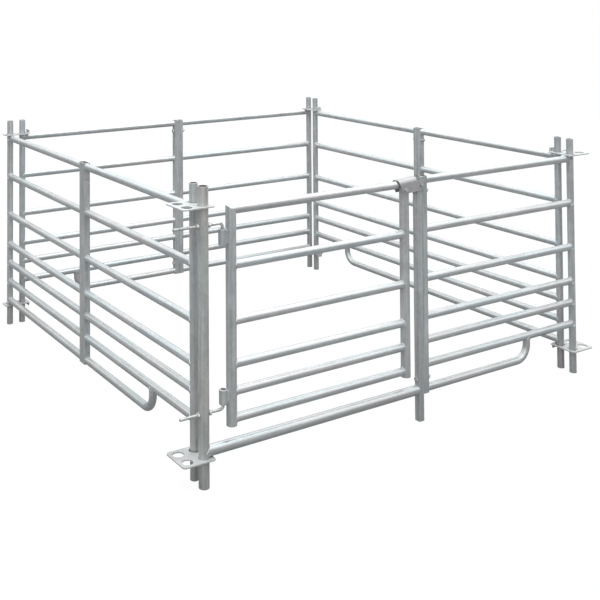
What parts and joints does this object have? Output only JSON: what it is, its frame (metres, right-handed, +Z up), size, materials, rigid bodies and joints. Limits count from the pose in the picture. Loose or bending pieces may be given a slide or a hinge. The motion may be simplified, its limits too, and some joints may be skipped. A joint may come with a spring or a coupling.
{
  "type": "livestock pen with gate",
  "caption": "Free-standing square livestock pen of galvanised tube panels held by slip-over corner plates, with a swing gate and a drop-over saddle latch in its front side.",
  "frame": {"origin": "on the ground, at the centre in plan of the box that holds the whole pen", "axes": "+Z up; the side with the gate faces -Y; the hinge post is at the front left corner (-X, -Y)"},
  "size_m": [2.361, 2.192, 1.14],
  "materials": {
    "galvanised_tube": "hot-dip galvanised, weathered matt grey",
    "galvanised_plate": "hot-dip galvanised, bright",
    "zinc_fasteners": "zinc plated"
  },
  "bodies": {
    "pen": {"left_loop_rails": "galvanised_tube", "left_loop_corner_tube": "galvanised_tube", "left_plain_rails": "galvanised_tube", "left_plain_corner_tube": "galvanised_tube", "back_loop_rails": "galvanised_tube", "back_loop_corner_tube": "galvanised_tube", "back_plain_rails": "galvanised_tube", "back_plain_corner_tube": "galvanised_tube", "right_loop_rails": "galvanised_tube", "right_loop_corner_tube": "galvanised_tube", "right_plain_rails": "galvanised_tube", "right_plain_corner_tube": "galvanised_tube", "front_loop_rails": "galvanised_tube", "front_loop_corner_tube": "galvanised_tube", "hinge_post": "galvanised_tube", "threshold_bar": "galvanised_tube", "gate_post": "galvanised_tube", "hinge_corner_top_plate": "galvanised_plate", "hinge_corner_bottom_plate": "galvanised_plate", "right_corner_top_plate": "galvanised_plate", "right_corner_bottom_plate": "galvanised_plate", "left_corner_top_plate": "galvanised_plate", "left_corner_bottom_plate": "galvanised_plate", "back_corner_top_plate": "galvanised_plate", "back_corner_bottom_plate": "galvanised_plate", "latch_pivot_bolt": "zinc_fasteners", "latch_pivot_nut": "zinc_fasteners", "upper_pintle": "zinc_fasteners", "upper_pintle_outer_nut": "zinc_fasteners", "upper_pintle_inner_nut": "zinc_fasteners", "lower_pintle": "zinc_fasteners", "lower_pintle_outer_nut": "zinc_fasteners", "lower_pintle_inner_nut": "zinc_fasteners", "left_upper_bolt": "zinc_fasteners", "left_upper_bolt_nut": "zinc_fasteners", "left_lower_bolt": "zinc_fasteners", "left_lower_bolt_nut": "zinc_fasteners", "back_upper_bolt": "zinc_fasteners", "back_upper_bolt_nut": "zinc_fasteners", "back_lower_bolt": "zinc_fasteners", "back_lower_bolt_nut": "zinc_fasteners", "right_upper_bolt": "zinc_fasteners", "right_upper_bolt_nut": "zinc_fasteners", "right_lower_bolt": "zinc_fasteners", "right_lower_bolt_nut": "zinc_fasteners", "front_upper_bolt": "zinc_fasteners", "front_upper_bolt_nut": "zinc_fasteners", "front_lower_bolt": "zinc_fasteners", "front_lower_bolt_nut": "zinc_fasteners"},
    "gate": {"gate_hinge_stile": "galvanised_tube", "gate_latch_stile": "galvanised_tube", "gate_rail_1": "galvanised_tube", "gate_rail_2": "galvanised_tube", "gate_rail_3": "galvanised_tube", "gate_rail_4": "galvanised_tube", "gate_rail_5": "galvanised_tube", "gate_rail_6": "galvanised_tube", "gate_upper_sleeve": "galvanised_tube", "gate_lower_sleeve": "galvanised_tube"},
    "latch": {"latch_saddle": "galvanised_plate"}
  },
  "joints": [
    {"name": "gate_swing", "type": "hinge", "parent": "pen", "child": "gate", "pos_m": [-0.9595, -1.06, 0.633], "axis": [0, 0, 1], "range_deg": [-130, 90]},
    {"name": "latch_lift", "type": "hinge", "parent": "pen", "child": "latch", "pos_m": [0.0575, -1.06, 1.031], "axis": [0, 1, 0], "range_deg": [0, 65]}
  ]
}
